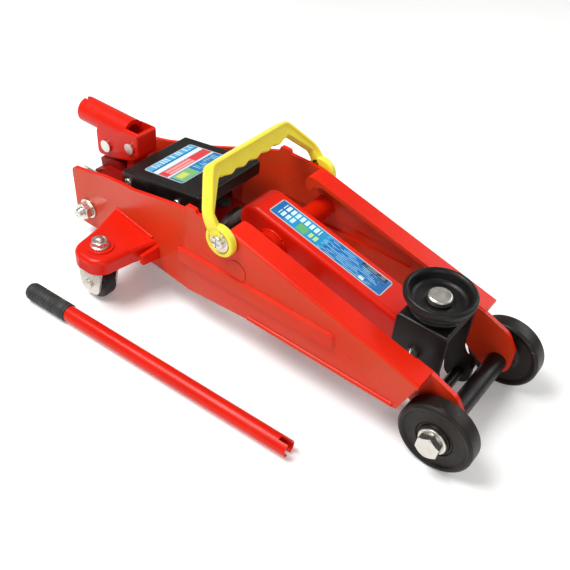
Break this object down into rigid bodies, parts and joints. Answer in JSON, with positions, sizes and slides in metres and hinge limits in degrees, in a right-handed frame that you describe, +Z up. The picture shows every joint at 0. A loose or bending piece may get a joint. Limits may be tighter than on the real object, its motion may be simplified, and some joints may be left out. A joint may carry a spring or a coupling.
{
  "type": "hydraulic trolley jack",
  "caption": "Low red hydraulic floor jack on front wheels and rear casters, with a lift arm, round saddle, folding carry handle and separate pump bar.",
  "frame": {"origin": "on the floor, straight below the middle of the front axle", "axes": "+X to the saddle end, +Y to the right-hand side, +Z up"},
  "size_m": [0.4855, 0.2718, 0.165],
  "materials": {
    "red_paint": "gloss",
    "casting_red": "satin",
    "black_paint": "satin",
    "saddle_black": "satin",
    "wheel_black": "satin",
    "zinc_steel": "satin",
    "turned_steel": "satin",
    "chrome_rod": "gloss",
    "yellow_plastic": "satin",
    "black_rubber": "matte",
    "label_film": "gloss"
  },
  "bodies": {
    "frame": {"arm_shaft": "red_paint", "caster_ear_left": "red_paint", "caster_ear_right": "red_paint", "caster_nuts": "zinc_steel", "caster_studs": "zinc_steel", "cover_label": "label_film", "cover_plate": "black_paint", "cover_screws": "zinc_steel", "filler_plug": "black_rubber", "front_axle": "black_paint", "fulcrum_pin": "zinc_steel", "handle_screws": "zinc_steel", "link_studs": "red_paint", "power_block": "casting_red", "pump_yoke": "red_paint", "ram_cylinder": "turned_steel", "rear_nuts": "zinc_steel", "rear_rod": "zinc_steel", "reservoir": "casting_red", "rod_spacers": "zinc_steel", "side_plate_left": "red_paint", "side_plate_right": "red_paint", "wheel_bolts": "zinc_steel", "wheel_washers": "zinc_steel"},
    "lift_arm": {"lift_arm": "red_paint", "arm_label": "label_film", "lever_pin": "zinc_steel"},
    "saddle_bracket": {"saddle_bracket": "black_paint", "arm_pin": "zinc_steel", "arm_cotter": "zinc_steel", "saddle_pin": "zinc_steel", "lower_pin": "black_paint"},
    "saddle": {"saddle": "saddle_black"},
    "leveling_rods": {"leveling_rod_left": "black_paint", "leveling_rod_right": "black_paint"},
    "ram_piston": {"piston": "chrome_rod"},
    "handle_socket": {"handle_socket": "red_paint", "plunger_pin": "zinc_steel"},
    "pump_plunger": {"pump_plunger": "chrome_rod"},
    "release_valve": {"release_valve": "zinc_steel"},
    "front_wheel_left": {"front_wheel_left": "wheel_black"},
    "front_wheel_right": {"front_wheel_right": "wheel_black"},
    "caster_fork_left": {"caster_fork_left": "zinc_steel", "caster_axle_left": "zinc_steel"},
    "caster_fork_right": {"caster_fork_right": "zinc_steel", "caster_axle_right": "zinc_steel"},
    "caster_wheel_left": {"caster_wheel_left": "wheel_black"},
    "caster_wheel_right": {"caster_wheel_right": "wheel_black"},
    "carry_handle": {"carry_handle": "yellow_plastic"},
    "pump_bar": {"pump_bar": "red_paint", "bar_grip": "black_rubber"}
  },
  "joints": [
    {"name": "arm_lift", "type": "hinge", "parent": "frame", "child": "lift_arm", "pos_m": [-0.201, 0, 0.086], "axis": [0, -1, 0], "range_deg": [0, 70]},
    {"name": "bracket_level", "type": "hinge", "parent": "lift_arm", "child": "saddle_bracket", "pos_m": [-0.05, 0, 0.059], "axis": [0, -1, 0], "range_deg": [-70.5, 0.5]},
    {"name": "leveling_swing", "type": "hinge", "parent": "frame", "child": "leveling_rods", "pos_m": [-0.1735, 0, 0.0495], "axis": [0, -1, 0], "range_deg": [-0.5, 70.5]},
    {"name": "piston_stroke", "type": "slide", "parent": "frame", "child": "ram_piston", "axis": [1, 0, 0], "range_m": [-0.0003, 0.0416]},
    {"name": "saddle_turn", "type": "hinge", "parent": "saddle_bracket", "child": "saddle", "pos_m": [-0.048, 0, 0.0947], "axis": [0, 0, 1], "continuous": true},
    {"name": "handle_pump", "type": "hinge", "parent": "frame", "child": "handle_socket", "pos_m": [-0.38, 0, 0.104], "axis": [0, 1, 0], "range_deg": [0, 40]},
    {"name": "plunger_stroke", "type": "slide", "parent": "frame", "child": "pump_plunger", "axis": [0, 0, 1], "range_m": [-0.0003, 0.02447]},
    {"name": "release_turn", "type": "hinge", "parent": "frame", "child": "release_valve", "pos_m": [-0.415, -0.031, 0.062], "axis": [-1, 0, 0], "range_deg": [0, 360]},
    {"name": "front_wheel_spin_left", "type": "hinge", "parent": "frame", "child": "front_wheel_left", "pos_m": [0, -0.05915, 0.0325], "axis": [0, 1, 0], "continuous": true},
    {"name": "caster_swivel_left", "type": "hinge", "parent": "frame", "child": "caster_fork_left", "pos_m": [-0.333, -0.098, 0.0426], "axis": [0, 0, 1], "continuous": true},
    {"name": "caster_roll_left", "type": "hinge", "parent": "caster_fork_left", "child": "caster_wheel_left", "pos_m": [-0.341, -0.098, 0.018], "axis": [0, 1, 0], "continuous": true},
    {"name": "front_wheel_spin_right", "type": "hinge", "parent": "frame", "child": "front_wheel_right", "pos_m": [0, 0.05915, 0.0325], "axis": [0, 1, 0], "continuous": true},
    {"name": "caster_swivel_right", "type": "hinge", "parent": "frame", "child": "caster_fork_right", "pos_m": [-0.333, 0.098, 0.0426], "axis": [0, 0, 1], "continuous": true},
    {"name": "caster_roll_right", "type": "hinge", "parent": "caster_fork_right", "child": "caster_wheel_right", "pos_m": [-0.341, 0.098, 0.018], "axis": [0, 1, 0], "continuous": true},
    {"name": "handle_fold", "type": "hinge", "parent": "frame", "child": "carry_handle", "pos_m": [-0.214, 0, 0.114], "axis": [0, 1, 0], "range_deg": [-14, 56]},
    {"name": "bar_pick_up", "type": "slide", "parent": "frame", "child": "pump_bar", "axis": [0, 0, 1], "range_m": [0, 0.3]}
  ],
  "couplings": [
    {"joint": "bracket_level", "follows": "arm_lift", "ratio": -1},
    {"joint": "leveling_swing", "follows": "arm_lift", "ratio": 1},
    {"joint": "piston_stroke", "follows": "arm_lift", "m_per_rad": 0.033802},
    {"joint": "plunger_stroke", "follows": "handle_pump", "m_per_rad": 0.034623}
  ]
}
